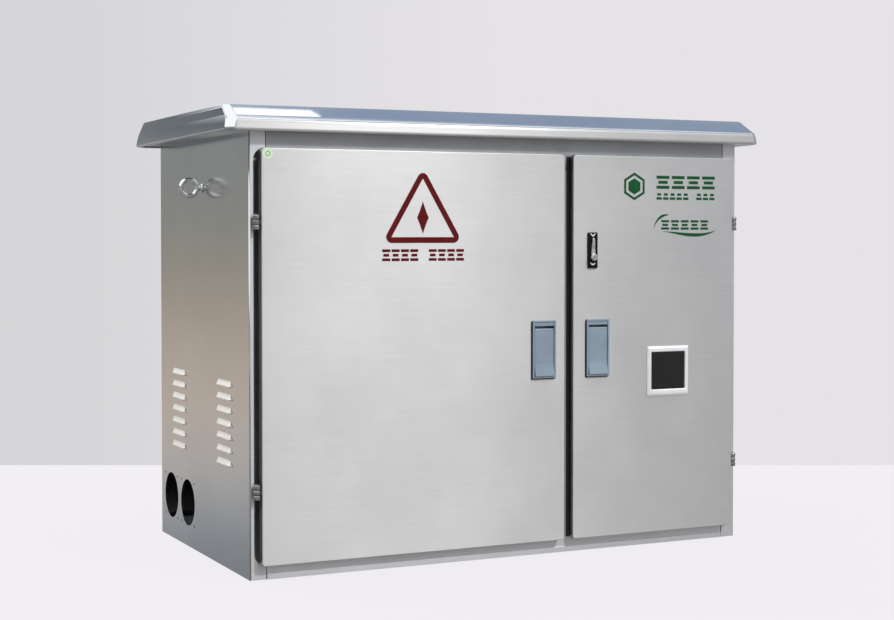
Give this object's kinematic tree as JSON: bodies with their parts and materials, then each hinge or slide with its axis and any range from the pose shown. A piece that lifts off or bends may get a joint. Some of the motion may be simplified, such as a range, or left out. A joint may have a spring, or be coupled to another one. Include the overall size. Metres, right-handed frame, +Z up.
{
  "type": "outdoor low-voltage distribution cabinet",
  "caption": "Stainless-steel outdoor power distribution cabinet with two hinged doors, flush paddle locks, a meter window, louvred sides and fused switchgear inside.",
  "frame": {"origin": "centre of the four anchor holes, on the plane that the cabinet stands on", "axes": "+Z up, +X to the right seen from the doors, -Y out of the doors"},
  "size_m": [1.422, 0.7658, 1.0611],
  "materials": {
    "brushed_stainless": "satin, brushed along the sheet",
    "roof_stainless": "bright rolled sheet",
    "galvanised_steel": "galvanised, matt spangle",
    "bright_steel": "plated",
    "key_brass": "turned",
    "lock_enamel": "blue-grey stove enamel",
    "black_enamel": "gloss black enamel",
    "window_alloy": "bright anodised",
    "foam_rubber": "matt foam",
    "window_glass": "clear",
    "clear_polycarbonate": "clear moulded",
    "copper_bar": "rolled copper bar",
    "red_polyester": "moulded glass polyester",
    "grey_thermoset": "moulded",
    "fuse_ceramic": "glazed",
    "breaker_black": "moulded",
    "transformer_resin": "cast resin",
    "drawn_aluminium": "drawn can",
    "meter_white": "moulded",
    "display_green": "liquid crystal panel",
    "terminal_beige": "moulded"
  },
  "bodies": {
    "cabinet": {"base_frame": "galvanised_steel", "breaker_cases": "breaker_black", "busbar_insulators": "red_polyester", "capacitor_cans": "drawn_aluminium", "centre_mullion": "brushed_stainless", "collector_unit": "meter_white", "current_transformers": "transformer_resin", "door_jambs": "brushed_stainless", "earth_bar": "copper_bar", "eye_bolts": "bright_steel", "feeder_bars": "copper_bar", "floor_plate": "galvanised_steel", "frame_hinge_leaves": "bright_steel", "header_rail": "brushed_stainless", "hinge_pins": "bright_steel", "isolator_base": "grey_thermoset", "left_side_panel": "brushed_stainless", "meter_base": "meter_white", "meter_board": "galvanised_steel", "meter_cover": "clear_polycarbonate", "meter_display": "display_green", "mounting_plate": "galvanised_steel", "neutral_bar": "copper_bar", "panel_bolts": "bright_steel", "partition_wall": "galvanised_steel", "phase_busbars": "copper_bar", "plate_standoffs": "galvanised_steel", "rear_panel": "brushed_stainless", "right_side_panel": "brushed_stainless", "roof_pan": "roof_stainless", "roof_soffit": "roof_stainless", "sill_rail": "brushed_stainless", "surge_arrester": "grey_thermoset", "test_terminal_block": "terminal_beige"},
    "left_door": {"left_door_skin": "brushed_stainless", "left_door_gasket": "foam_rubber", "left_door_stiffener": "brushed_stainless", "left_lock_housing": "lock_enamel", "left_door_hinge_leaves": "bright_steel"},
    "right_door": {"right_door_skin": "brushed_stainless", "right_door_gasket": "foam_rubber", "right_lock_housing": "lock_enamel", "right_door_hinge_leaves": "bright_steel", "window_frame": "window_alloy", "window_glass": "window_glass", "window_gasket": "foam_rubber", "key_lock_body": "black_enamel"},
    "left_paddle_flap": {"left_paddle": "lock_enamel"},
    "right_paddle_flap": {"right_paddle": "lock_enamel"},
    "left_latch": {"left_latch_bolt": "bright_steel"},
    "right_latch": {"right_latch_bolt": "bright_steel"},
    "key_lever": {"key_lock_handle": "bright_steel", "key_lock_cam": "bright_steel"},
    "key_barrel": {"key_plug": "key_brass"},
    "fuse_carrier": {"isolator_carrier": "grey_thermoset", "fuse_links": "fuse_ceramic"},
    "toggle_1": {"breaker_toggle_1": "breaker_black"},
    "toggle_2": {"breaker_toggle_2": "breaker_black"},
    "toggle_3": {"breaker_toggle_3": "breaker_black"},
    "scroll_button": {"meter_button": "meter_white"}
  },
  "joints": [
    {"name": "left_door_hinge", "type": "hinge", "parent": "cabinet", "child": "left_door", "pos_m": [-0.637, -0.361, 0.498], "axis": [0, 0, -1], "range_deg": [0, 120]},
    {"name": "right_door_hinge", "type": "hinge", "parent": "cabinet", "child": "right_door", "pos_m": [0.637, -0.361, 0.498], "axis": [0, 0, 1], "range_deg": [0, 120]},
    {"name": "left_paddle_pull", "type": "hinge", "parent": "left_door", "child": "left_paddle_flap", "pos_m": [0.0835, -0.3705, 0.5425], "axis": [-1, 0, 0], "range_deg": [0, 50], "stiffness_Nm_per_rad": 0.12, "springref_deg": -20.05},
    {"name": "right_paddle_pull", "type": "hinge", "parent": "right_door", "child": "right_paddle_flap", "pos_m": [0.2325, -0.3705, 0.5425], "axis": [-1, 0, 0], "range_deg": [0, 50], "stiffness_Nm_per_rad": 0.12, "springref_deg": -20.05},
    {"name": "left_latch_draw", "type": "slide", "parent": "left_door", "child": "left_latch", "axis": [-1, 0, 0], "range_m": [0, 0.014]},
    {"name": "right_latch_draw", "type": "slide", "parent": "right_door", "child": "right_latch", "axis": [1, 0, 0], "range_m": [0, 0.014]},
    {"name": "key_lever_turn", "type": "hinge", "parent": "right_door", "child": "key_lever", "pos_m": [0.21775, -0.3745, 0.716], "axis": [0, -1, 0], "range_deg": [0, 90]},
    {"name": "key_barrel_turn", "type": "hinge", "parent": "key_lever", "child": "key_barrel", "pos_m": [0.21775, -0.3775, 0.716], "axis": [0, 1, 0], "range_deg": [0, 90]},
    {"name": "fuse_carrier_swing", "type": "hinge", "parent": "cabinet", "child": "fuse_carrier", "pos_m": [-0.49, 0.211, 0.445], "axis": [1, 0, 0], "range_deg": [0, 60]},
    {"name": "scroll_button_press", "type": "slide", "parent": "cabinet", "child": "scroll_button", "axis": [0, 1, 0], "range_m": [0, 0.002], "stiffness_N_per_m": 400},
    {"name": "breaker_toggle_1_throw", "type": "hinge", "parent": "cabinet", "child": "toggle_1", "pos_m": [-0.202, 0.236, 0.4045], "axis": [1, 0, 0], "range_deg": [0, 50]},
    {"name": "breaker_toggle_2_throw", "type": "hinge", "parent": "cabinet", "child": "toggle_2", "pos_m": [-0.069, 0.236, 0.4045], "axis": [1, 0, 0], "range_deg": [0, 50]},
    {"name": "breaker_toggle_3_throw", "type": "hinge", "parent": "cabinet", "child": "toggle_3", "pos_m": [0.064, 0.236, 0.4045], "axis": [1, 0, 0], "range_deg": [0, 50]}
  ],
  "couplings": [
    {"joint": "left_latch_draw", "follows": "left_paddle_pull", "m_per_rad": 0.016042},
    {"joint": "right_latch_draw", "follows": "right_paddle_pull", "m_per_rad": 0.016042}
  ]
}
